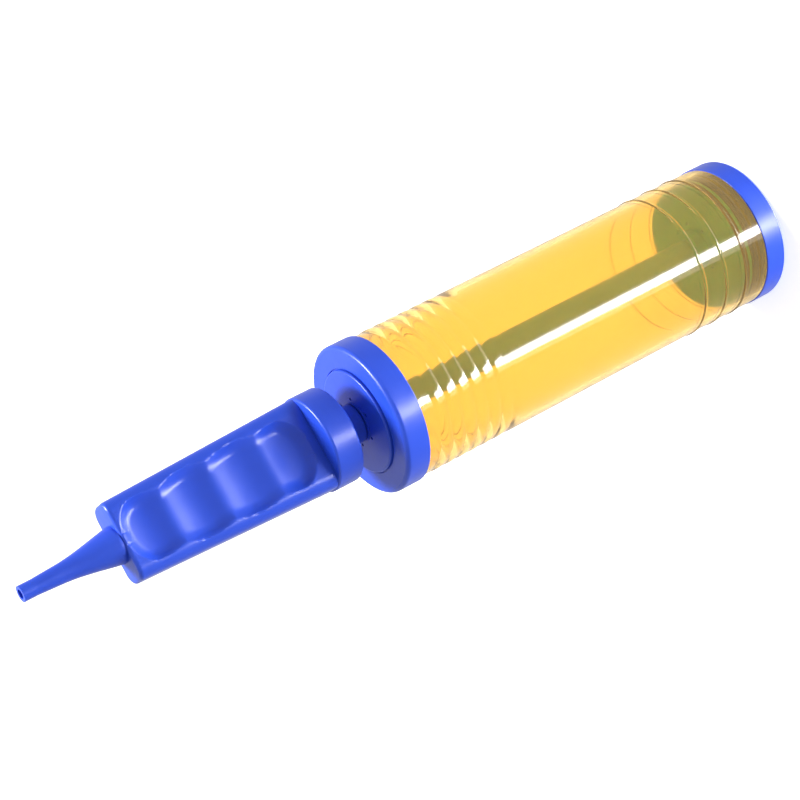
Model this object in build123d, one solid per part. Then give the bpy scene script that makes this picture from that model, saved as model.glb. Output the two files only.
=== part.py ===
from build123d import *
import os

# Dual-action hand pump for balloons, standing upright on its rear cap.
# Origin: centre of the rear cap's rear face.  +Z runs along the pump towards the nozzle.
# The handle is broad along X, and its finger hollows face -Y and +Y.
# All sizes are in millimetres.  The plunger is drawn fully pushed in.

# ---- driving dimensions -----------------------------------------------------------
CAP_RADIUS = 26.5
REAR_CAP_HEIGHT = 8.4
CAP_EDGE = 0.6                # rounding of the rear cap's outer edge
CAP_LIP = 0.3                 # rounding of both caps where they meet the barrel

BARREL_RADIUS = 26.2
BORE_RADIUS = 24.2
BARREL_END = 160.7            # where the barrel's visible wall meets the front cap
NECK_RADIUS = 25.3            # the reduced neck inside the front cap
NECK_LENGTH = 4.5

FRONT_CAP_RADIUS = 26.8
FRONT_CAP_TOP = 170.0
FRONT_CAP_EDGE = 1.5
DISC_RADIUS = 18.6            # raised disc on the front cap
DISC_HEIGHT = 1.0
DISC_EDGE = 0.6
DISC_GROOVE = 0.5             # width and depth of the fine groove round the disc

ROD_RADIUS = 4.75
ROD_BORE = 3.2

PISTON_RADIUS = 23.6
PISTON_FACE = 19.4            # front face of the piston with the plunger pushed in
SEAL_THICKNESS = 1.7

COLLAR_START = 180.2
COLLAR_END = 190.2
COLLAR_RADIUS = 16.95
COLLAR_BACK_EDGE = 1.0
COLLAR_FRONT_EDGE = 0.9

GRIP_END = 264.2
GRIP_WIDTH_START = 32.6
GRIP_WIDTH_END = 27.4
GRIP_DEPTH_START = 15.7
GRIP_DEPTH_END = 13.7
GRIP_CORNER_START = 4.6
GRIP_CORNER_END = 4.2
GRIP_EDGE = 1.0

NOZZLE_TIP = 298.9
NOZZLE_TIP_RADIUS = 2.75
NOZZLE_TIP_LENGTH = 5.0       # straight length that a balloon's neck slips over
NOZZLE_BORE = 1.7

PLAY = 0.05                   # gap between fitted pieces
VALVE_LIFT = 1.0              # travel of every loose valve flap
FLAP = 0.8                    # thickness of the rubber valve flaps
PAST = 1.0                    # how far a cutter reaches past the faces it opens


# ---- helpers ----------------------------------------------------------------------
def turned(*points):
    """A solid turned about Z from an outline of (radius, height) points."""
    outline = Plane.XZ * make_face(Polyline(*points, close=True))
    return revolve(outline, Axis.Z, 360)


def ring(inner, outer, low, high):
    """A plain ring between two radii and two heights."""
    return turned((inner, low), (outer, low), (outer, high), (inner, high))


def disc(radius, low, high):
    """A plain disc centred on Z."""
    return Pos(0, 0, low) * Cylinder(radius, high - low, align=(Align.CENTER, Align.CENTER, Align.MIN))


def around(count, radius, piece, first_angle=0):
    """Copies of a piece, equally spaced on a circle about Z."""
    places = [first_angle + 360 / count * index for index in range(count)]
    return [Rot(0, 0, angle) * Pos(radius, 0, 0) * piece for angle in places]


def drill(body, count, circle, hole_radius, low, high, first_angle=0):
    """A body with a ring of holes along Z."""
    return body - around(count, circle, disc(hole_radius, low, high), first_angle)


def edges_at(body, radius, height, reach=0.05):
    """The circular edges of a turned body at one radius and height."""
    found = []
    for edge in body.edges().filter_by(GeomType.CIRCLE):
        same_radius = abs(edge.radius - radius) < reach
        if same_radius and abs(edge.center().Z - height) < reach:
            found.append(edge)
    return found


parts = {}

# ---- barrel -----------------------------------------------------------------------
REAR_RIDGES = [18.6, 28.0, 37.8]
RIDGE_HEIGHT = 0.35
RIDGE_HALF = 0.75
GRIP_RINGS = 6
RING_PITCH = 5.1
RINGS_START = 125.05
RING_DEPTH = 0.5
RING_SHOULDER = 1.2           # slope at each end of the band of grip rings
CAP_GAP = 0.12                # fine line between the barrel and each cap


def barrel_wall():
    """The outer wall's outline, upwards: three fine ridges, then a band of rounded grip rings."""
    low = REAR_CAP_HEIGHT + CAP_GAP
    high = BARREL_END - CAP_GAP
    wall = []
    start = (BARREL_RADIUS, low)
    for ridge in REAR_RIDGES:
        foot = (BARREL_RADIUS, ridge - RIDGE_HALF)
        crest = (BARREL_RADIUS + RIDGE_HEIGHT, ridge)
        heel = (BARREL_RADIUS, ridge + RIDGE_HALF)
        wall.append(Line(start, foot))
        wall.append(ThreePointArc(foot, crest, heel))
        start = heel
    for index in range(GRIP_RINGS):
        foot = (BARREL_RADIUS - RING_DEPTH, RINGS_START + index * RING_PITCH)
        crest = (BARREL_RADIUS, foot[1] + RING_PITCH / 2)
        heel = (foot[0], foot[1] + RING_PITCH)
        if index == 0:
            shoulder = (BARREL_RADIUS, foot[1] - RING_SHOULDER)
            wall.append(Line(start, shoulder))
            wall.append(Line(shoulder, foot))
        wall.append(ThreePointArc(foot, crest, heel))
        start = heel
    shoulder = (BARREL_RADIUS, start[1] + RING_SHOULDER)
    wall.append(Line(start, shoulder))
    wall.append(Line(shoulder, (BARREL_RADIUS, high)))
    return wall


neck_top = BARREL_END + NECK_LENGTH
barrel_outline = barrel_wall() + [
    Polyline(
        (BARREL_RADIUS, BARREL_END - CAP_GAP),
        (NECK_RADIUS, BARREL_END - CAP_GAP),
        (NECK_RADIUS, neck_top),
        (BORE_RADIUS, neck_top),
        (BORE_RADIUS, REAR_CAP_HEIGHT + CAP_GAP),
        (BARREL_RADIUS, REAR_CAP_HEIGHT + CAP_GAP),
    )
]
parts["barrel"] = revolve(Plane.XZ * make_face(barrel_outline), Axis.Z, 360)

# ---- rear cap, its gasket and its intake valve ---------------------------------------
PLUG_TOP = 13.9
PLUG_BORE = 19.5
PLUG_RADIUS = BORE_RADIUS - 0.1
PLUG_GROOVES = [12.35, 13.35]
PLUG_GROOVE_DEPTH = 0.5
PLUG_GROOVE_HALF = 0.25
RECESS_RADIUS = 21.0
RECESS_DEPTH = 0.8
PLATE_TOP = 3.2
REAR_SEAT = 6.0
REAR_BOSS = 7.6
GASKET_LOW = 10.2
GASKET_HIGH = 11.4
GASKET_FLOOR = 22.9
REAR_INTAKES = 6
REAR_INTAKE_CIRCLE = 4.0
REAR_INTAKE_RADIUS = 1.0

plug_rings = []
for groove in PLUG_GROOVES:
    plug_rings.append((PLUG_RADIUS, groove - PLUG_GROOVE_HALF))
    plug_rings.append((PLUG_RADIUS - PLUG_GROOVE_DEPTH, groove))
    plug_rings.append((PLUG_RADIUS, groove + PLUG_GROOVE_HALF))
rear_cap = turned(
    (0, RECESS_DEPTH),
    (RECESS_RADIUS - RECESS_DEPTH, RECESS_DEPTH),
    (RECESS_RADIUS, 0),
    (CAP_RADIUS, 0),
    (CAP_RADIUS, REAR_CAP_HEIGHT),
    (PLUG_RADIUS, REAR_CAP_HEIGHT),
    (PLUG_RADIUS, GASKET_LOW),
    (GASKET_FLOOR, GASKET_LOW),
    (GASKET_FLOOR, GASKET_HIGH),
    (PLUG_RADIUS, GASKET_HIGH),
    *plug_rings,
    (PLUG_RADIUS, PLUG_TOP),
    (PLUG_BORE, PLUG_TOP),
    (PLUG_BORE, PLATE_TOP),
    (REAR_BOSS, PLATE_TOP),
    (REAR_BOSS, REAR_SEAT),
    (0, REAR_SEAT),
)
rear_cap = fillet(edges_at(rear_cap, CAP_RADIUS, 0), CAP_EDGE)
rear_cap = fillet(edges_at(rear_cap, CAP_RADIUS, REAR_CAP_HEIGHT), CAP_LIP)
parts["rear_cap"] = drill(
    rear_cap, REAR_INTAKES, REAR_INTAKE_CIRCLE, REAR_INTAKE_RADIUS, 0, REAR_SEAT + PAST
)
parts["rear_cap_gasket"] = ring(
    GASKET_FLOOR + PLAY, BORE_RADIUS - PLAY, GASKET_LOW + PLAY, GASKET_HIGH - PLAY
)

FLAP_RADIUS = 6.2
CAGE_WALL = 1.1
CAGE_RADIUS = FLAP_RADIUS + 0.5
CAGE_HOLES = 6
CAGE_HOLE_CIRCLE = 6.3
CAGE_HOLE_RADIUS = 0.9
rear_flap_low = REAR_SEAT + PLAY
rear_stop = rear_flap_low + FLAP + VALVE_LIFT + PLAY
rear_cage = turned(
    (0, rear_stop),
    (CAGE_RADIUS, rear_stop),
    (CAGE_RADIUS, REAR_SEAT + PLAY),
    (REAR_BOSS + PLAY, REAR_SEAT + PLAY),
    (REAR_BOSS + PLAY, PLATE_TOP + PLAY),
    (REAR_BOSS + CAGE_WALL, PLATE_TOP + PLAY),
    (REAR_BOSS + CAGE_WALL, rear_stop + CAGE_WALL),
    (0, rear_stop + CAGE_WALL),
)
parts["rear_valve_cage"] = drill(
    rear_cage, CAGE_HOLES, CAGE_HOLE_CIRCLE, CAGE_HOLE_RADIUS, rear_stop, rear_stop + CAGE_WALL + PAST
)
parts["rear_valve_flap"] = disc(FLAP_RADIUS, rear_flap_low, rear_flap_low + FLAP)

# ---- front cap, its gasket, gland, rod seal, bush and intake valve --------------------
disc_top = FRONT_CAP_TOP + DISC_HEIGHT
CAP_UNDERSIDE = 166.1
SKIRT_BORE = NECK_RADIUS + 0.1
HUB_RADIUS = 7.2
HUB_TOP = disc_top + 0.3
GLAND_BORE = 6.6
BOSS_RADIUS = 7.6
BOSS_END = 158.0
LIP_TOP = 158.8
LIP_BORE = 5.2
FRONT_INTAKES = 6
FRONT_INTAKE_CIRCLE = 8.5
FRONT_INTAKE_RADIUS = 0.6
FRONT_INTAKE_ANGLE = 30

front_cap = turned(
    (FRONT_CAP_RADIUS, BARREL_END),
    (FRONT_CAP_RADIUS, FRONT_CAP_TOP),
    (DISC_RADIUS + DISC_GROOVE, FRONT_CAP_TOP),
    (DISC_RADIUS + DISC_GROOVE, FRONT_CAP_TOP - DISC_GROOVE),
    (DISC_RADIUS, FRONT_CAP_TOP - DISC_GROOVE),
    (DISC_RADIUS, disc_top),
    (HUB_RADIUS, disc_top),
    (HUB_RADIUS, HUB_TOP),
    (GLAND_BORE, HUB_TOP),
    (GLAND_BORE, LIP_TOP),
    (LIP_BORE, LIP_TOP),
    (LIP_BORE, BOSS_END),
    (BOSS_RADIUS, BOSS_END),
    (BOSS_RADIUS, CAP_UNDERSIDE),
    (SKIRT_BORE, CAP_UNDERSIDE),
    (SKIRT_BORE, BARREL_END),
)
front_cap = fillet(edges_at(front_cap, FRONT_CAP_RADIUS, FRONT_CAP_TOP), FRONT_CAP_EDGE)
front_cap = fillet(edges_at(front_cap, DISC_RADIUS, disc_top), DISC_EDGE)
front_cap = fillet(edges_at(front_cap, FRONT_CAP_RADIUS, BARREL_END), CAP_LIP)
parts["front_cap"] = drill(
    front_cap, FRONT_INTAKES, FRONT_INTAKE_CIRCLE, FRONT_INTAKE_RADIUS,
    CAP_UNDERSIDE - PAST, disc_top + PAST, FRONT_INTAKE_ANGLE,
)
parts["front_cap_gasket"] = ring(BORE_RADIUS + PLAY, NECK_RADIUS, neck_top + PLAY, CAP_UNDERSIDE - PLAY)

BUSH_TOP = 166.0
SEAL_TOP = 168.6
GLAND_TOP = HUB_TOP - 0.1
GLAND_RING_BORE = ROD_RADIUS + 0.2
GLAND_CHAMFER = 0.5
rod_outside = ROD_RADIUS + PLAY
gland_outside = GLAND_BORE - PLAY
parts["rod_bush"] = ring(rod_outside, gland_outside, LIP_TOP + PLAY, BUSH_TOP)
parts["rod_seal"] = ring(rod_outside, gland_outside, BUSH_TOP + PLAY, SEAL_TOP)
gland = ring(GLAND_RING_BORE, gland_outside, SEAL_TOP + PLAY, GLAND_TOP)
parts["gland_ring"] = chamfer(edges_at(gland, GLAND_RING_BORE, GLAND_TOP), GLAND_CHAMFER)

WASHER_OUTSIDE = 11.0
WASHER_PLAY = 0.15            # gap between the sliding washer and the cap's boss
RETAINER_OUTSIDE = 11.5
RETAINER_HEIGHT = 1.6
NOTCHES = 6
NOTCH_CIRCLE = 11.2
NOTCH_LENGTH = 2.4
NOTCH_WIDTH = 3.0
front_stop = CAP_UNDERSIDE - PLAY - VALVE_LIFT - FLAP
retainer_high = front_stop - PLAY
parts["front_valve_washer"] = ring(BOSS_RADIUS + WASHER_PLAY, WASHER_OUTSIDE, front_stop, front_stop + FLAP)
retainer = ring(BOSS_RADIUS + PLAY, RETAINER_OUTSIDE, retainer_high - RETAINER_HEIGHT, retainer_high)
notch = Pos(0, 0, retainer_high) * Box(NOTCH_LENGTH, NOTCH_WIDTH, 3 * RETAINER_HEIGHT)
parts["front_valve_retainer"] = retainer - around(NOTCHES, NOTCH_CIRCLE, notch)

# ---- piston: two plates, a loose seal between them, and two valves inside --------------
PISTON_BACK = 14.2
GROOVE_LOW = 15.9
SEAL_PLAY = 0.1
groove_high = GROOVE_LOW + SEAL_THICKNESS + 2 * SEAL_PLAY
SEAL_SEAT = 20.9
CHAMBER = 13.0
CHAMBER_FLOOR = 12.0
CHAMBER_ROOF = 17.6
HUB_BACK = 10.4
HUB_OUTSIDE = 14.6
SOCKET_OUTSIDE = 7.6
SOCKET_TOP = 23.4
SOCKET_FLOOR = 18.5
SCREWS = 3
SCREW_CIRCLE = 17.0
SCREW_CLEARANCE_HOLE = 1.3
SCREW_PILOT_HOLE = 1.1
SCREW_ROOF = PISTON_FACE - 0.8
PUSH_HOLES = 6
PUSH_HOLE_CIRCLE = 3.8
PUSH_HOLE_RADIUS = 1.0
PULL_HOLES = 8
PULL_HOLE_CIRCLE = 9.7
PULL_HOLE_RADIUS = 0.6
PULL_HOLE_ANGLE = 22.5
PISTON_EDGE = 0.4
SOCKET_EDGE = 0.5

rear_plate = turned(
    (0, HUB_BACK),
    (HUB_OUTSIDE, HUB_BACK),
    (HUB_OUTSIDE, PISTON_BACK),
    (PISTON_RADIUS, PISTON_BACK),
    (PISTON_RADIUS, GROOVE_LOW),
    (CHAMBER, GROOVE_LOW),
    (CHAMBER, CHAMBER_FLOOR),
    (0, CHAMBER_FLOOR),
)
rear_plate = drill(
    rear_plate, PUSH_HOLES, PUSH_HOLE_CIRCLE, PUSH_HOLE_RADIUS, HUB_BACK - PAST, CHAMBER_FLOOR + PAST
)
parts["piston_rear_plate"] = drill(
    rear_plate, SCREWS, SCREW_CIRCLE, SCREW_CLEARANCE_HOLE, PISTON_BACK - PAST, GROOVE_LOW + PAST
)

front_plate = turned(
    (ROD_BORE, CHAMBER_ROOF),
    (CHAMBER, CHAMBER_ROOF),
    (CHAMBER, GROOVE_LOW + PLAY),
    (SEAL_SEAT, GROOVE_LOW + PLAY),
    (SEAL_SEAT, groove_high),
    (PISTON_RADIUS, groove_high),
    (PISTON_RADIUS, PISTON_FACE),
    (SOCKET_OUTSIDE, PISTON_FACE),
    (SOCKET_OUTSIDE, SOCKET_TOP),
    (ROD_RADIUS + PLAY, SOCKET_TOP),
    (ROD_RADIUS + PLAY, SOCKET_FLOOR),
    (ROD_BORE, SOCKET_FLOOR),
)
front_plate = fillet(edges_at(front_plate, PISTON_RADIUS, PISTON_FACE), PISTON_EDGE)
front_plate = fillet(edges_at(front_plate, SOCKET_OUTSIDE, SOCKET_TOP), SOCKET_EDGE)
front_plate = drill(
    front_plate, PULL_HOLES, PULL_HOLE_CIRCLE, PULL_HOLE_RADIUS,
    CHAMBER_ROOF - PAST, PISTON_FACE + PAST, PULL_HOLE_ANGLE,
)
parts["piston_front_plate"] = drill(
    front_plate, SCREWS, SCREW_CIRCLE, SCREW_PILOT_HOLE, GROOVE_LOW - PAST, SCREW_ROOF
)

parts["piston_seal"] = ring(
    SEAL_SEAT + PLAY, BORE_RADIUS - PLAY, GROOVE_LOW + SEAL_PLAY, groove_high - SEAL_PLAY
)

push_flap_low = CHAMBER_FLOOR + PLAY
cage_ceiling = push_flap_low + FLAP + VALVE_LIFT + PLAY
washer_high = CHAMBER_ROOF - PLAY
washer_low = washer_high - FLAP - VALVE_LIFT
parts["push_valve_flap"] = disc(FLAP_RADIUS, push_flap_low, push_flap_low + FLAP)
VALVE_CAGE_BORE = 1.8
VALVE_CAGE_WALL = 8.5
VALVE_CAGE_HOLE_CIRCLE = 7.3
VALVE_CAGE_HOLE_RADIUS = 0.8
PULL_WASHER_BORE = 8.6
PULL_WASHER_OUTSIDE = 12.4
cage = turned(
    (VALVE_CAGE_BORE, cage_ceiling),
    (VALVE_CAGE_WALL, cage_ceiling),
    (VALVE_CAGE_WALL, CHAMBER_FLOOR),
    (CHAMBER - PLAY, CHAMBER_FLOOR),
    (CHAMBER - PLAY, washer_low - PLAY),
    (VALVE_CAGE_BORE, washer_low - PLAY),
)
parts["piston_valve_cage"] = drill(
    cage, CAGE_HOLES, VALVE_CAGE_HOLE_CIRCLE, VALVE_CAGE_HOLE_RADIUS, cage_ceiling - PAST, washer_low + PAST
)
parts["pull_valve_washer"] = ring(PULL_WASHER_BORE, PULL_WASHER_OUTSIDE, washer_low, washer_low + FLAP)

SCREW_HEAD = 2.1
SCREW_HEAD_HEIGHT = 1.4
SCREW_HEAD_EDGE = 0.4
SCREW_SHANK = 1.05
SCREW_POINT = 0.5
SCREW_TIP = PISTON_FACE - 1.1
SLOT_WIDTH = 0.6
SLOT_LENGTH = 3.0
SLOT_DEPTH = 0.5
head_low = PISTON_BACK - SCREW_HEAD_HEIGHT
screw = turned(
    (0, head_low),
    (SCREW_HEAD - SCREW_HEAD_EDGE, head_low),
    (SCREW_HEAD, head_low + SCREW_HEAD_EDGE),
    (SCREW_HEAD, PISTON_BACK),
    (SCREW_SHANK, PISTON_BACK),
    (SCREW_SHANK, SCREW_TIP - SCREW_POINT),
    (0, SCREW_TIP),
)
slot = Pos(0, 0, head_low) * Box(SLOT_WIDTH, SLOT_LENGTH, 2 * SLOT_DEPTH)
cross = slot + Rot(0, 0, 90) * slot
parts["piston_screws"] = Compound(children=around(SCREWS, SCREW_CIRCLE, screw - cross))

# ---- plunger rod -----------------------------------------------------------------------
ROD_TOP = 186.0
parts["piston_rod"] = ring(ROD_BORE, ROD_RADIUS, SOCKET_FLOOR + PLAY, ROD_TOP)

# ---- handle: closing collar with its hub, one-piece grip, nozzle --------------------------
COLLAR_HUB = 6.8
COLLAR_HUB_EDGE = 0.5
HUB_START = HUB_TOP + 0.3
AIRWAY = 2.0                  # hole from the rod's top into the grip
SPIGOT_TOP = COLLAR_END + 5.0
SPIGOT_CORNER = 1.6
GRIP_WALL = 2.3
CAVITY_HALF_START = 2.9
CAVITY_HALF_END = 1.8
CAVITY_CORNER_START = 1.6
CAVITY_CORNER_END = 1.2
GRIP_END_WALL = 4.0
grip_length = GRIP_END - COLLAR_END


def width_at(height):
    """The grip's full width at a height."""
    return GRIP_WIDTH_START + (GRIP_WIDTH_END - GRIP_WIDTH_START) * (height - COLLAR_END) / grip_length


def depth_at(height):
    """The grip's full depth, front to back, at a height."""
    return GRIP_DEPTH_START + (GRIP_DEPTH_END - GRIP_DEPTH_START) * (height - COLLAR_END) / grip_length


def tapered(low, high, width_low, width_high, depth_low, depth_high, corner_low, corner_high):
    """A tapered bar with rounded corners between two heights."""
    foot = Pos(0, 0, low) * RectangleRounded(width_low, depth_low, corner_low)
    head = Pos(0, 0, high) * RectangleRounded(width_high, depth_high, corner_high)
    return loft([foot, head], ruled=True)


spigot = tapered(
    COLLAR_END, SPIGOT_TOP,
    width_at(COLLAR_END) - 2 * GRIP_WALL - 2 * PLAY, width_at(SPIGOT_TOP) - 2 * GRIP_WALL - 2 * PLAY,
    2 * CAVITY_HALF_START - 2 * PLAY, 2 * CAVITY_HALF_START - 6 * PLAY,
    SPIGOT_CORNER, SPIGOT_CORNER,
)
collar = turned(
    (ROD_RADIUS + PLAY, HUB_START),
    (COLLAR_HUB, HUB_START),
    (COLLAR_HUB, COLLAR_START),
    (COLLAR_RADIUS, COLLAR_START),
    (COLLAR_RADIUS, COLLAR_END),
    (AIRWAY, COLLAR_END),
    (AIRWAY, ROD_TOP + PLAY),
    (ROD_RADIUS + PLAY, ROD_TOP + PLAY),
)
collar = fillet(edges_at(collar, COLLAR_RADIUS, COLLAR_START), COLLAR_BACK_EDGE)
collar = fillet(edges_at(collar, COLLAR_RADIUS, COLLAR_END), COLLAR_FRONT_EDGE)
collar = fillet(edges_at(collar, COLLAR_HUB, HUB_START), COLLAR_HUB_EDGE)
parts["handle_collar"] = collar + (spigot - disc(AIRWAY, COLLAR_END - PAST, SPIGOT_TOP + PAST))

# The finger hollows: four shallow grooves across the grip inside one lobed outline.
RIDGE_HEIGHTS = [208.9, 227.7, 245.9]
HOLLOWS_LOW = 193.4
HOLLOWS_HIGH = 263.2
HOLLOW_HALF_WIDTH = [12.1, 12.2, 11.9, 10.9]
HOLLOW_DEPTH = 2.9
WAVE_RADIUS = 26.0
LOBE_LENGTH = 17.5
LOBE_DROP = 6.0
FIRST_LOBE_START = HOLLOWS_LOW - 2.4
LAST_LOBE_END = HOLLOWS_HIGH + 0.8
FRAME_WIDTH = 26.4
FRAME_CORNER = 7.0
hollow_edges = [FIRST_LOBE_START] + RIDGE_HEIGHTS + [LAST_LOBE_END]
hollow_centres = [(low + high) / 2 for low, high in zip(hollow_edges, hollow_edges[1:])]


def hollow_cutter():
    """What the finger hollows take from the grip's -Y face."""
    floor = []
    outline = []
    for centre, half_width in zip(hollow_centres, HOLLOW_HALF_WIDTH):
        face = -depth_at(centre) / 2
        roller = Rot(0, 90, 0) * Cylinder(WAVE_RADIUS, 2 * CAP_RADIUS)
        floor.append(Pos(0, face + HOLLOW_DEPTH - WAVE_RADIUS, centre) * roller)
        lobe = scale(Sphere(1), by=(half_width, LOBE_DROP, LOBE_LENGTH))
        outline.append(Pos(0, face, centre) * lobe)
    middle = (HOLLOWS_LOW + HOLLOWS_HIGH) / 2
    frame = Pos(0, -GRIP_DEPTH_START, middle) * Box(
        FRAME_WIDTH, 2 * GRIP_DEPTH_START, HOLLOWS_HIGH - HOLLOWS_LOW
    )
    frame = fillet(frame.edges().filter_by(Axis.Y), FRAME_CORNER)
    rollers = floor[0] + floor[1:]
    lobes = outline[0] + outline[1:]
    return rollers & lobes & frame


grip_body = tapered(
    COLLAR_END + PLAY, GRIP_END,
    GRIP_WIDTH_START, GRIP_WIDTH_END,
    GRIP_DEPTH_START, GRIP_DEPTH_END,
    GRIP_CORNER_START, GRIP_CORNER_END,
)
grip_body = fillet(grip_body.faces().sort_by(Axis.Z)[-1].edges(), GRIP_EDGE)
cavity = tapered(
    COLLAR_END, GRIP_END - GRIP_END_WALL,
    GRIP_WIDTH_START - 2 * GRIP_WALL, GRIP_WIDTH_END - 2 * GRIP_WALL,
    2 * CAVITY_HALF_START, 2 * CAVITY_HALF_END,
    CAVITY_CORNER_START, CAVITY_CORNER_END,
)
NOZZLE_ROOT = 3.4
NOZZLE_ROOT_BORE = 2.4
NOZZLE_ROOT_LENGTH = 3.6
cutter = hollow_cutter()
grip = grip_body - cutter - Rot(0, 0, 180) * cutter - cavity
parts["handle_grip"] = grip - disc(NOZZLE_ROOT + PLAY, GRIP_END - GRIP_END_WALL - PAST, GRIP_END + PAST)

NOZZLE_BASE = 6.5
NOZZLE_BASE_HEIGHT = 0.9
FLARE_END = 284.6
FLARE_RADIUS = 3.3
FLARE_POINTS = [(5.35, 7.0), (4.05, 14.0)]    # (radius, height above the grip's end)
flare = Spline(
    (NOZZLE_BASE, GRIP_END + NOZZLE_BASE_HEIGHT),
    *[(radius, GRIP_END + height) for radius, height in FLARE_POINTS],
    (FLARE_RADIUS, FLARE_END),
)
TIP_START = NOZZLE_TIP - NOZZLE_TIP_LENGTH
nozzle_outline = [
    flare,
    Polyline((FLARE_RADIUS, FLARE_END), (NOZZLE_TIP_RADIUS, TIP_START), (NOZZLE_TIP_RADIUS, NOZZLE_TIP)),
    Polyline(
        (NOZZLE_TIP_RADIUS, NOZZLE_TIP),
        (NOZZLE_BORE, NOZZLE_TIP),
        (NOZZLE_BORE, FLARE_END),
        (NOZZLE_ROOT_BORE, GRIP_END - NOZZLE_ROOT_LENGTH),
        (NOZZLE_ROOT, GRIP_END - NOZZLE_ROOT_LENGTH),
        (NOZZLE_ROOT, GRIP_END + PLAY),
        (NOZZLE_BASE, GRIP_END + PLAY),
        (NOZZLE_BASE, GRIP_END + NOZZLE_BASE_HEIGHT),
    ),
]
parts["nozzle"] = revolve(Plane.XZ * make_face(nozzle_outline), Axis.Z, 360)

# ---- write every piece -------------------------------------------------------------------
os.makedirs("parts", exist_ok=True)
for name, piece in parts.items():
    export_step(piece, f"parts/{name}.step")
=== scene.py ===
import math

import bmesh
import bpy
import numpy as np
from mathutils import Matrix, Vector


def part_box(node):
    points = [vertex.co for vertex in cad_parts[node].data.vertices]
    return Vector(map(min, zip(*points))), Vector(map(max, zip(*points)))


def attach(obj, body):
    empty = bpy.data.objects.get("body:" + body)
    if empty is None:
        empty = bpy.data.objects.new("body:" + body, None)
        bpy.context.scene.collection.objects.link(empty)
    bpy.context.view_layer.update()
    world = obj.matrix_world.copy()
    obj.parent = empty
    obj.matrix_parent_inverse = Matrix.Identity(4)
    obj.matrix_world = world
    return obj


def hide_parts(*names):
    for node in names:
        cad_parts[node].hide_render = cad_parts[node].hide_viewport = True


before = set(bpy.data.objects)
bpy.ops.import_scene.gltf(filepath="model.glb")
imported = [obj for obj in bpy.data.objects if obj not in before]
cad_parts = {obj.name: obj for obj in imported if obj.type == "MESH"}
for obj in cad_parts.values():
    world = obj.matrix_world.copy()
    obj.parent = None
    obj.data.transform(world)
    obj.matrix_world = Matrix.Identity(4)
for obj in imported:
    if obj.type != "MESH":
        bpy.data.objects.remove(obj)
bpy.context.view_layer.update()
MM = 0.001

# ---- grip sizes that the frame's boxes don't give --------------------------------------
GRIP_CORNER_START = 4.8 * MM
GRIP_CORNER_END = 4.4 * MM
LEAST_CORNER = 0.5 * MM
GRIP_END_WIDTH = 27.4 * MM
GRIP_END_DEPTH = 13.7 * MM
GRIP_EDGE = 1.2 * MM
GRIP_WALL = 2.3 * MM
GRIP_END_WALL = 4.0 * MM
CAVITY_DEPTH_START = 5.8 * MM
CAVITY_DEPTH_END = 3.6 * MM
CAVITY_CORNER = 1.2 * MM
NOZZLE_HOLE = 3.45 * MM
ACROSS_STEPS = 44
CORNER_STEPS = 12
DEEP_STEPS = 6

# The finger hollows: ridge heights above the table, and the lobed outline's half widths.
RIDGES = [208.9 * MM, 227.7 * MM, 245.9 * MM]
HOLLOWS_LOW = 193.2 * MM
HOLLOWS_HIGH = 263.4 * MM
LOBE_HALF_WIDTHS = [12.1 * MM, 12.3 * MM, 12.0 * MM, 11.0 * MM]
RIDGE_HALF_WIDTHS = [10.9 * MM, 10.5 * MM, 9.7 * MM]
HOLLOW_END_CORNER = 8.5 * MM
OUTLINE_STEPS = 400
OUTLINE_END_STEPS = 30

# The hollows' floor is a row of rounded waves between these heights, and it rises to the
# grip's face over the wall's reach.
HOLLOW_FLOOR_LOW = 190.9 * MM
HOLLOW_FLOOR_HIGH = 264.0 * MM
HOLLOW_DEPTH = 3.0 * MM
RIDGE_DEPTH = 1.2 * MM
RIDGE_ROUNDING = 0.4
HOLLOW_WALL_REACH = 4.2 * MM
HOLLOW_WALL_CURVE = 2.2
RIM_SOFTNESS = 0.35 * MM

# ---- barrel sizes ----------------------------------------------------------------------
# Wall radii, three fine ridges, then six rounded grip rings under the front cap.
WALL_RADIUS = 26.2 * MM
BORE_RADIUS = 24.2 * MM
NECK_RADIUS = 25.3 * MM
WALL_TOP = 160.58 * MM
REAR_RIDGES = [18.6 * MM, 28.0 * MM, 37.8 * MM]
REAR_RIDGE_HEIGHT = 0.34 * MM
REAR_RIDGE_HALF = 0.75 * MM
REAR_RIDGE_STEPS = 10
RING_COUNT = 6
RING_PITCH = 5.1 * MM
RINGS_START = 125.05 * MM
RING_DEPTH = 0.42 * MM
RING_STEPS = 24
RING_SHOULDER = 4.2 * MM
SHOULDER_STEPS = 12
FIRST_RING_SHARE = 0.5
CREST_POWER = 2.2

# Long straight runs of the wall's section get a point this close to each bend.
GUARD = 0.06 * MM
SHORTEST_RUN = 4 * GUARD
LONGEST_RUN = 3.0 * MM

# ---- camera and studio sizes, in metres and degrees ------------------------------------
TARGET = Vector((0.0, 0.0, 0.1529))
CAMERA_DISTANCE = 0.761
CAMERA_ELEVATION = 26.72
CAMERA_TURN = 4.0
CAMERA_ROLL = 117.11
LENS = 102.3
SENSOR_WIDTH = 36.0
NEAREST_SEEN = 0.01
FURTHEST_SEEN = 50.0
FLOOR_HALF = 6.0
FLOOR_LEVEL = -0.0002
WALLS_HALF = 5.9
WALLS_LOW = -0.1
WALLS_HIGH = 6.0
MID_BARREL = (0.0, 0.0, 0.15)
FRONT_CAP = (0.0, 0.0, 0.18)

WHITE_LIGHT = (1.0, 1.0, 1.0, 1.0)
PLASTIC_IOR = 1.5


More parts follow.
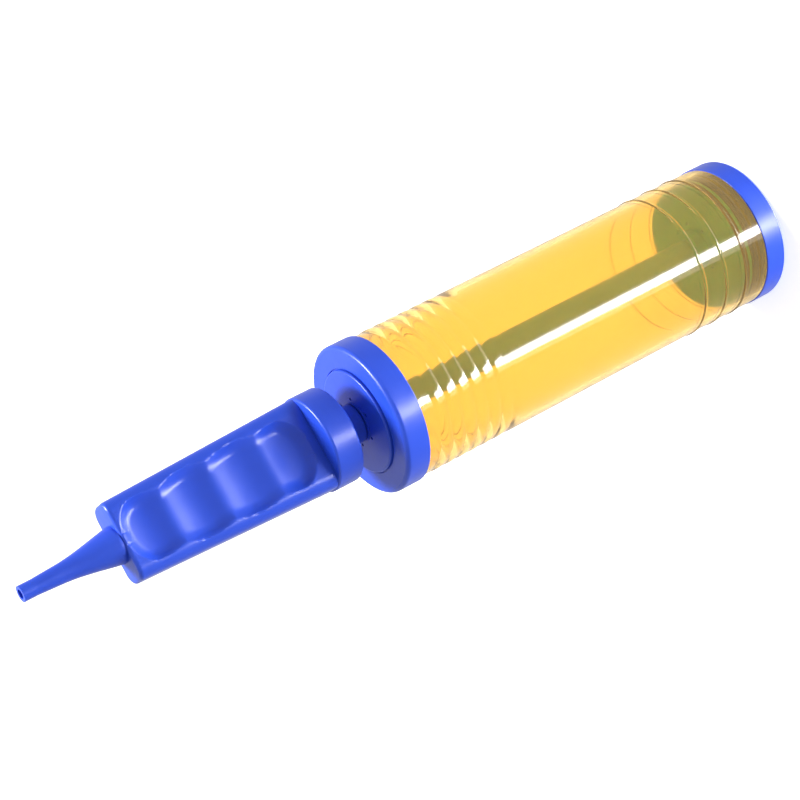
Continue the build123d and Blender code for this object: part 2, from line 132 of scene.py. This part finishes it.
# ---- small node-tree helpers -----------------------------------------------------------
def new_material(name):
    """A material, its emptied node tree, and a new shader wired to the tree's output."""
    material = bpy.data.materials.new(name)
    material.use_nodes = True
    tree = material.node_tree
    tree.nodes.clear()
    output = tree.nodes.new("ShaderNodeOutputMaterial")
    shader = tree.nodes.new("ShaderNodeBsdfPrincipled")
    tree.links.new(shader.outputs["BSDF"], output.inputs["Surface"])
    return material, tree, shader


def noise(tree, scale, detail, stretch=(1.0, 1.0, 1.0)):
    """A noise texture in the object's own metres, stretched along the axes."""
    coordinates = tree.nodes.new("ShaderNodeTexCoord")
    mapping = tree.nodes.new("ShaderNodeMapping")
    mapping.inputs["Scale"].default_value = stretch
    texture = tree.nodes.new("ShaderNodeTexNoise")
    texture.inputs["Scale"].default_value = scale
    texture.inputs["Detail"].default_value = detail
    tree.links.new(coordinates.outputs["Object"], mapping.inputs["Vector"])
    tree.links.new(mapping.outputs["Vector"], texture.inputs["Vector"])
    return texture.outputs["Fac"]


def spread(tree, source, low, high, start=0.3, end=0.7):
    """Maps a source between start and end to a range of values."""
    node = tree.nodes.new("ShaderNodeMapRange")
    node.inputs["From Min"].default_value = start
    node.inputs["From Max"].default_value = end
    node.inputs["To Min"].default_value = low
    node.inputs["To Max"].default_value = high
    tree.links.new(source, node.inputs["Value"])
    return node.outputs["Result"]


def blend_colours(tree, source, first, second):
    """A colour between two, chosen by a 0-1 source."""
    node = tree.nodes.new("ShaderNodeMix")
    node.data_type = "RGBA"
    node.inputs["A"].default_value = (*first, 1.0)
    node.inputs["B"].default_value = (*second, 1.0)
    tree.links.new(source, node.inputs["Factor"])
    return node.outputs["Result"]


def bump(tree, shader, source, strength, distance):
    """Adds relief to a shader from a height source."""
    node = tree.nodes.new("ShaderNodeBump")
    node.inputs["Strength"].default_value = strength
    node.inputs["Distance"].default_value = distance
    tree.links.new(source, node.inputs["Height"])
    tree.links.new(node.outputs["Normal"], shader.inputs["Normal"])


# ---- materials -------------------------------------------------------------------------
def moulded_plastic(name, deep, light, rough_low, rough_high):
    """Opaque injection-moulded plastic: faint colour drift, uneven gloss, very fine relief."""
    material, tree, shader = new_material(name)
    drift = spread(tree, noise(tree, scale=60.0, detail=3.0), low=0.0, high=1.0)
    tree.links.new(blend_colours(tree, drift, deep, light), shader.inputs["Base Color"])
    gloss = spread(tree, noise(tree, scale=220.0, detail=3.0), rough_low, rough_high)
    tree.links.new(gloss, shader.inputs["Roughness"])
    shader.inputs["IOR"].default_value = PLASTIC_IOR
    bump(tree, shader, noise(tree, scale=450.0, detail=2.0), strength=0.05, distance=0.03 * MM)
    return material


def clear_plastic(name, tint, clearness):
    """Tinted clear plastic with the faint flow waves of a moulded tube."""
    material, tree, shader = new_material(name)
    shader.inputs["Base Color"].default_value = (*tint, 1.0)
    shader.inputs["Transmission Weight"].default_value = clearness
    shader.inputs["IOR"].default_value = PLASTIC_IOR
    streaks = noise(tree, scale=130.0, detail=4.0, stretch=(1.0, 1.0, 0.3))
    tree.links.new(spread(tree, streaks, low=0.05, high=0.11), shader.inputs["Roughness"])
    waves = noise(tree, scale=45.0, detail=2.0, stretch=(1.0, 1.0, 0.25))
    bump(tree, shader, waves, strength=0.10, distance=0.1 * MM)
    return material


def seal_rubber(name):
    """Soft moulded rubber with a dusty bloom."""
    material, tree, shader = new_material(name)
    bloom = spread(tree, noise(tree, scale=300.0, detail=6.0), low=0.0, high=1.0)
    colour = blend_colours(tree, bloom, (0.020, 0.030, 0.030), (0.05, 0.06, 0.06))
    tree.links.new(colour, shader.inputs["Base Color"])
    dullness = spread(tree, bloom, low=0.45, high=0.7, start=0.0, end=1.0)
    tree.links.new(dullness, shader.inputs["Roughness"])
    bump(tree, shader, noise(tree, scale=1500.0, detail=4.0), strength=0.2, distance=0.05 * MM)
    return material


def screw_steel(name):
    """Zinc-plated steel with turned streaks."""
    material, tree, shader = new_material(name)
    streaks = noise(tree, scale=900.0, detail=4.0, stretch=(1.0, 1.0, 6.0))
    shade = spread(tree, streaks, low=0.0, high=1.0)
    colour = blend_colours(tree, shade, (0.48, 0.49, 0.50), (0.68, 0.69, 0.70))
    tree.links.new(colour, shader.inputs["Base Color"])
    shader.inputs["Metallic"].default_value = 1.0
    tree.links.new(spread(tree, streaks, low=0.29, high=0.42), shader.inputs["Roughness"])
    bump(tree, shader, streaks, strength=0.1, distance=0.03 * MM)
    return material


BLUE = moulded_plastic(
    "blue_plastic", (0.018, 0.066, 0.560), (0.022, 0.076, 0.620), rough_low=0.29, rough_high=0.37
)
INNER_BLUE = moulded_plastic(
    "inner_blue_plastic", (0.02, 0.38, 0.42), (0.03, 0.42, 0.47), rough_low=0.30, rough_high=0.40
)
ROD_BLUE = moulded_plastic(
    "rod_plastic", (0.10, 0.37, 0.56), (0.12, 0.40, 0.62), rough_low=0.30, rough_high=0.40
)
CLEAR = clear_plastic("clear_yellow_plastic", tint=(0.88, 0.61, 0.185), clearness=0.92)
WHITE = moulded_plastic(
    "bearing_plastic", (0.70, 0.70, 0.66), (0.78, 0.78, 0.74), rough_low=0.40, rough_high=0.55
)
RUBBER = seal_rubber("seal_rubber")
STEEL = screw_steel("screw_steel")

NODE_MATERIALS = {
    BLUE: ["rear_cap", "front_cap", "gland_ring", "handle_collar", "nozzle"],
    INNER_BLUE: ["piston_front_plate", "piston_rear_plate"],
    ROD_BLUE: ["piston_rod"],
    CLEAR: ["barrel"],
    WHITE: ["rear_valve_cage", "front_valve_retainer", "rod_bush", "piston_valve_cage"],
    RUBBER: [
        "rear_cap_gasket",
        "front_cap_gasket",
        "rod_seal",
        "piston_seal",
        "rear_valve_flap",
        "front_valve_washer",
        "push_valve_flap",
        "pull_valve_washer",
    ],
    STEEL: ["piston_screws"],
}


def paint(piece, material):
    """Gives a piece one material in place of what it has."""
    piece.data.materials.clear()
    piece.data.materials.append(material)


for material, nodes in NODE_MATERIALS.items():
    for node in nodes:
        paint(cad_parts[node], material)


# ---- mesh helpers ----------------------------------------------------------------------
def closed_rings(name, rings):
    """A closed mesh from rings of equally many points, joined in order, the last to the first."""
    count = len(rings[0])
    vertices = [point for ring in rings for point in ring]
    faces = []
    for index in range(len(rings)):
        here = index * count
        above = (index + 1) % len(rings) * count
        for step in range(count):
            after = (step + 1) % count
            faces.append((here + step, here + after, above + after, above + step))
    mesh = bpy.data.meshes.new(name)
    mesh.from_pydata(vertices, [], faces)
    mesh.validate()
    piece = bpy.data.objects.new(name, mesh)
    bpy.context.scene.collection.objects.link(piece)
    return piece


def finish_mesh(piece, sharp_angle):
    """Outward normals, smooth shading, and creases over an angle kept sharp."""
    work = bmesh.new()
    work.from_mesh(piece.data)
    bmesh.ops.recalc_face_normals(work, faces=work.faces)
    work.to_mesh(piece.data)
    work.free()
    piece.data.polygons.foreach_set("use_smooth", [True] * len(piece.data.polygons))
    piece.data.set_sharp_from_angle(angle=math.radians(sharp_angle))


# ---- handle grip -----------------------------------------------------------------------
grip_low, grip_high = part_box("handle_grip")
GRIP_START = grip_low.z
GRIP_END = grip_high.z
GRIP_START_WIDTH = grip_high.x - grip_low.x
GRIP_START_DEPTH = grip_high.y - grip_low.y


def along(height, start, end):
    """A size that changes evenly from the grip's start to its end."""
    share = (height - GRIP_START) / (GRIP_END - GRIP_START)
    return start + (end - start) * share


def rounded_outline(width, depth, corner):
    """Points round a rounded rectangle, starting at the middle of its +X side."""
    straight_x = width / 2 - corner
    straight_y = depth / 2 - corner
    quarter = []
    for step in range(DEEP_STEPS):
        quarter.append((width / 2, straight_y * step / DEEP_STEPS))
    for step in range(CORNER_STEPS):
        angle = math.pi / 2 * step / CORNER_STEPS
        x = straight_x + corner * math.cos(angle)
        y = straight_y + corner * math.sin(angle)
        quarter.append((x, y))
    for step in range(ACROSS_STEPS):
        quarter.append((straight_x * (1 - step / ACROSS_STEPS), depth / 2))
    mirrored = [(0.0, depth / 2)] + [(-x, y) for x, y in reversed(quarter[1:])]
    top = quarter + mirrored
    return top + [(-x, -y) for x, y in top]


def hollow_half_width(height):
    """The lobed outline's half width at a height: an arc over each finger, meeting in cusps."""
    edges = [HOLLOWS_LOW] + RIDGES + [HOLLOWS_HIGH]
    halves = [RIDGE_HALF_WIDTHS[0]] + RIDGE_HALF_WIDTHS + [RIDGE_HALF_WIDTHS[-1]]
    for index, peak in enumerate(LOBE_HALF_WIDTHS):
        low, high = edges[index], edges[index + 1]
        if low <= height <= high:
            share = (height - low) / (high - low)
            base = halves[index] + (halves[index + 1] - halves[index]) * share
            rise = peak - (halves[index] + halves[index + 1]) / 2
            return base + rise * (1 - (2 * share - 1) ** 2)
    return 0.0


def hollow_outline():
    """One half of the lobed outline, from the middle of its low end to the middle of its high end."""
    points = []
    for step in range(OUTLINE_STEPS + 1):
        height = HOLLOWS_LOW + (HOLLOWS_HIGH - HOLLOWS_LOW) * step / OUTLINE_STEPS
        half = hollow_half_width(height)
        from_end = min(height - HOLLOWS_LOW, HOLLOWS_HIGH - height)
        if from_end < HOLLOW_END_CORNER:
            from_centre = HOLLOW_END_CORNER - from_end
            half -= HOLLOW_END_CORNER - math.sqrt(HOLLOW_END_CORNER**2 - from_centre**2)
        points.append((half, height))
    low_end = []
    high_end = []
    for step in range(OUTLINE_END_STEPS):
        share = step / OUTLINE_END_STEPS
        low_end.append((points[0][0] * share, HOLLOWS_LOW))
        high_end.append((points[-1][0] * (1 - share), HOLLOWS_HIGH))
    return np.array(low_end + points + high_end)


OUTLINE = hollow_outline()


def floor_depth(height):
    """How deep the hollows' floor lies at a height, with a ridge between fingers."""
    edges = [HOLLOW_FLOOR_LOW] + RIDGES + [HOLLOW_FLOOR_HIGH]
    full_wave = math.hypot(1.0, RIDGE_ROUNDING) - RIDGE_ROUNDING
    for low, high in zip(edges, edges[1:]):
        if low <= height <= high:
            share = (height - low) / (high - low)
            wave = math.hypot(math.sin(math.pi * share), RIDGE_ROUNDING) - RIDGE_ROUNDING
            return RIDGE_DEPTH + (HOLLOW_DEPTH - RIDGE_DEPTH) * wave / full_wave
    return RIDGE_DEPTH


def hollow(x, height):
    """How far the grip's broad face is pressed in at a point."""
    if not HOLLOWS_LOW < height < HOLLOWS_HIGH:
        return 0.0
    half = float(np.interp(height, OUTLINE[:, 1], OUTLINE[:, 0]))
    if abs(x) >= half:
        return 0.0
    inside = float(np.sqrt(((OUTLINE - (abs(x), height)) ** 2).sum(axis=1).min()))
    softened = math.hypot(inside, RIM_SOFTNESS) - RIM_SOFTNESS
    share = min(softened / HOLLOW_WALL_REACH, 1.0)
    return floor_depth(height) * (1 - (1 - share) ** HOLLOW_WALL_CURVE)


def outer_ring(height, inset):
    """The grip's outline at a height, drawn in by an inset, with the hollows pressed in."""
    width = along(height, GRIP_START_WIDTH, GRIP_END_WIDTH) - 2 * inset
    depth = along(height, GRIP_START_DEPTH, GRIP_END_DEPTH) - 2 * inset
    corner = max(along(height, GRIP_CORNER_START, GRIP_CORNER_END) - inset, LEAST_CORNER)
    ring = []
    for x, y in rounded_outline(width, depth, corner):
        on_face = abs(y) > depth / 2 - corner
        pressed = hollow(x, height) if on_face else 0.0
        ring.append((x, y - math.copysign(pressed, y), height))
    return ring


def hole_ring(rim, height):
    """The nozzle's hole at a height, each point in the direction of the rim's point."""
    ring = []
    for x, y, _ in rim:
        angle = math.atan2(y, x)
        ring.append((NOZZLE_HOLE * math.cos(angle), NOZZLE_HOLE * math.sin(angle), height))
    return ring


def cavity_ring(height):
    """The hollow inside of the grip at a height."""
    width = along(height, GRIP_START_WIDTH, GRIP_END_WIDTH) - 2 * GRIP_WALL
    depth = along(height, CAVITY_DEPTH_START, CAVITY_DEPTH_END)
    return [(x, y, height) for x, y in rounded_outline(width, depth, CAVITY_CORNER)]


def build_grip():
    """The one-piece hollow grip, with four finger hollows on each broad face."""
    wall_steps = 300
    edge_steps = 6
    top_of_wall = GRIP_END - GRIP_EDGE
    rings = []
    for step in range(wall_steps + 1):
        rings.append(outer_ring(GRIP_START + (top_of_wall - GRIP_START) * step / wall_steps, 0.0))
    for step in range(1, edge_steps + 1):
        angle = math.pi / 2 * step / edge_steps
        height = top_of_wall + GRIP_EDGE * math.sin(angle)
        rings.append(outer_ring(height, GRIP_EDGE * (1 - math.cos(angle))))
    rim = rings[-1]
    cavity_top = GRIP_END - GRIP_END_WALL
    rings.append(hole_ring(rim, GRIP_END))
    rings.append(hole_ring(rim, cavity_top))
    rings.append(cavity_ring(cavity_top))
    rings.append(cavity_ring(GRIP_START))
    piece = closed_rings("grip", rings)
    finish_mesh(piece, sharp_angle=32.0)
    return piece


grip = build_grip()
paint(grip, BLUE)
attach(grip, "plunger")
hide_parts("handle_grip")


# ---- barrel ----------------------------------------------------------------------------
def arc_points(start, crest, end, steps):
    """Points along a shallow crest in the wall's outline, without its first point."""
    points = []
    for step in range(1, steps + 1):
        share = step / steps
        height = start[1] + (end[1] - start[1]) * share
        base = start[0] + (end[0] - start[0]) * share
        points.append((base + (crest - base) * (1 - abs(2 * share - 1) ** CREST_POWER), height))
    return points


def eased_points(start, end, steps):
    """Points along a gentle S-curve between two radii, without its first point."""
    points = []
    for step in range(1, steps + 1):
        share = step / steps
        eased = (1 - math.cos(math.pi * share)) / 2
        radius = start[0] + (end[0] - start[0]) * eased
        points.append((radius, start[1] + (end[1] - start[1]) * share))
    return points


def wall_outline():
    """The barrel's section from the rear end up the outside, over the neck and down the bore."""
    low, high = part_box("barrel")
    outline = [(WALL_RADIUS, low.z)]
    for ridge in REAR_RIDGES:
        foot = (WALL_RADIUS, ridge - REAR_RIDGE_HALF)
        heel = (WALL_RADIUS, ridge + REAR_RIDGE_HALF)
        outline.append(foot)
        outline += arc_points(foot, WALL_RADIUS + REAR_RIDGE_HEIGHT, heel, REAR_RIDGE_STEPS)
    shoulder = (WALL_RADIUS, RINGS_START - RING_SHOULDER)
    foot = (WALL_RADIUS - RING_DEPTH * FIRST_RING_SHARE, RINGS_START)
    outline.append(shoulder)
    outline += eased_points(shoulder, foot, SHOULDER_STEPS)
    for _ in range(RING_COUNT):
        heel = (WALL_RADIUS - RING_DEPTH, foot[1] + RING_PITCH)
        outline += arc_points(foot, WALL_RADIUS, heel, RING_STEPS)
        foot = heel
    outline += eased_points(foot, (WALL_RADIUS, WALL_TOP), SHOULDER_STEPS)
    outline.append((NECK_RADIUS, WALL_TOP))
    outline.append((NECK_RADIUS, high.z))
    outline.append((BORE_RADIUS, high.z))
    outline.append((BORE_RADIUS, low.z))
    return outline


def with_guards(outline):
    """The outline with points added to long runs, so that smooth shading stays true at bends."""
    refined = []
    for start, end in zip(outline, outline[1:] + outline[:1]):
        refined.append(start)
        length = math.dist(start, end)
        if length < SHORTEST_RUN:
            continue
        runs = math.ceil(length / LONGEST_RUN)
        shares = [GUARD / length] + [run / runs for run in range(1, runs)] + [1 - GUARD / length]
        for share in shares:
            refined.append(tuple(low + (high - low) * share for low, high in zip(start, end)))
    return refined


def turned(name, outline, segments):
    """A closed solid turned about the pump's axis."""
    rings = []
    for radius, height in outline:
        ring = []
        for step in range(segments):
            angle = 2 * math.pi * step / segments
            ring.append((radius * math.cos(angle), radius * math.sin(angle), height))
        rings.append(ring)
    return closed_rings(name, rings)


barrel = turned("clear_barrel", with_guards(wall_outline()), segments=256)
finish_mesh(barrel, sharp_angle=40.0)
paint(barrel, CLEAR)
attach(barrel, "barrel_body")
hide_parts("barrel")


# ---- camera ----------------------------------------------------------------------------
def direction(rise, turn):
    """A unit vector at an elevation, and a turn from -Y towards -X, in degrees."""
    rise, turn = math.radians(rise), math.radians(turn)
    level = math.cos(rise)
    return Vector((-math.sin(turn) * level, -math.cos(turn) * level, math.sin(rise)))


def place_camera():
    """The camera looks down on the pump from in front of the grip, rolled past its side."""
    data = bpy.data.cameras.new("camera")
    data.lens = LENS
    data.sensor_width = SENSOR_WIDTH
    data.clip_start = NEAREST_SEEN
    data.clip_end = FURTHEST_SEEN
    camera = bpy.data.objects.new("camera", data)
    bpy.context.scene.collection.objects.link(camera)
    back = direction(CAMERA_ELEVATION, CAMERA_TURN)
    level = (-back).to_track_quat("-Z", "Y").to_matrix()
    roll = Matrix.Rotation(math.radians(-CAMERA_ROLL), 3, "Z")
    place = Matrix.Translation(TARGET + back * CAMERA_DISTANCE)
    camera.matrix_world = place @ (level @ roll).to_4x4()
    bpy.context.scene.camera = camera


# ---- floor, walls and light ------------------------------------------------------------
def staged(name, vertices, faces, material):
    """A piece of the studio, which shows to the camera and through the clear barrel only."""
    mesh = bpy.data.meshes.new(name)
    mesh.from_pydata(vertices, [], faces)
    piece = bpy.data.objects.new(name, mesh)
    bpy.context.scene.collection.objects.link(piece)
    piece.data.materials.append(material)
    piece.visible_glossy = False
    piece.visible_diffuse = False
    piece.visible_shadow = False


def paper(name, glow):
    """Matt white studio paper, lit evenly from behind as on a light table."""
    material, tree, shader = new_material(name)
    grain = spread(tree, noise(tree, scale=4.0, detail=3.0), low=0.0, high=1.0)
    colour = blend_colours(tree, grain, (0.90, 0.90, 0.90), (0.92, 0.92, 0.92))
    tree.links.new(colour, shader.inputs["Base Color"])
    shader.inputs["Roughness"].default_value = 0.9
    shader.inputs["Specular IOR Level"].default_value = 0.0
    shader.inputs["Emission Color"].default_value = WHITE_LIGHT
    shader.inputs["Emission Strength"].default_value = glow
    return material


def square(half):
    """The corners of a square about the pump's axis."""
    return [(-half, -half), (half, -half), (half, half), (-half, half)]


def pale_floor():
    """A plain matt floor under the pump."""
    corners = [(x, y, FLOOR_LEVEL) for x, y in square(FLOOR_HALF)]
    staged("floor", corners, [(0, 1, 2, 3)], paper("pale_floor", glow=0.55))


def pale_walls():
    """White walls and ceiling round the floor."""
    low = [(x, y, WALLS_LOW) for x, y in square(WALLS_HALF)]
    high = [(x, y, WALLS_HIGH) for x, y in square(WALLS_HALF)]
    faces = [(0, 4, 5, 1), (1, 5, 6, 2), (2, 6, 7, 3), (3, 7, 4, 0), (4, 7, 6, 5)]
    staged("walls", low + high, faces, paper("pale_walls", glow=1.1))


def studio_world(front, back):
    """White surroundings, brighter behind the pump than in front of it."""
    world = bpy.data.worlds.new("studio")
    world.use_nodes = True
    tree = world.node_tree
    background = tree.nodes["Background"]
    background.inputs["Color"].default_value = WHITE_LIGHT
    coordinates = tree.nodes.new("ShaderNodeTexCoord")
    facing = tree.nodes.new("ShaderNodeVectorMath")
    facing.operation = "DOT_PRODUCT"
    facing.inputs[1].default_value = (0.0, 1.0, 0.0)
    tree.links.new(coordinates.outputs["Generated"], facing.inputs[0])
    strength = spread(tree, facing.outputs["Value"], front, back, start=0.1, end=0.9)
    tree.links.new(strength, background.inputs["Strength"])
    bpy.context.scene.world = world


def softbox(name, aim, rise, turn, distance, size, power, diffuse):
    """A rectangular light that the camera doesn't see, with its share in diffuse light."""
    data = bpy.data.lights.new(name, "AREA")
    data.shape = "RECTANGLE"
    data.size, data.size_y = size
    data.energy = power
    data.diffuse_factor = diffuse
    light = bpy.data.objects.new(name, data)
    bpy.context.scene.collection.objects.link(light)
    light.location = Vector(aim) + direction(rise, turn) * distance
    light.rotation_mode = "QUATERNION"
    light.rotation_quaternion = (Vector(aim) - light.location).to_track_quat("-Z", "Y")
    light.visible_camera = False


place_camera()
pale_floor()
pale_walls()
studio_world(front=0.50, back=0.87)

# The streak along the barrel and the caps, and the softer light beside it.
softbox(
    "low_strip",
    MID_BARREL,
    rise=-46.0,
    turn=21.5,
    distance=0.7,
    size=(0.12, 0.75),
    power=7.4,
    diffuse=0.22,
)
softbox(
    "low_panel",
    MID_BARREL,
    rise=-46.0,
    turn=24.0,
    distance=0.75,
    size=(0.24, 0.75),
    power=1.4,
    diffuse=0.2,
)
# The soft patches on the sides of the hollows' ridges.
softbox(
    "lobe_panel",
    MID_BARREL,
    rise=-64.0,
    turn=-6.0,
    distance=2.5,
    size=(1.45, 1.40),
    power=18.0,
    diffuse=0.2,
)
# The fine bright lines on the edges that face the nozzle.
softbox(
    "rim_light",
    FRONT_CAP,
    rise=60.0,
    turn=-112.0,
    distance=0.8,
    size=(0.22, 0.22),
    power=12.0,
    diffuse=0.2,
)

bpy.context.scene.view_settings.view_transform = "Standard"
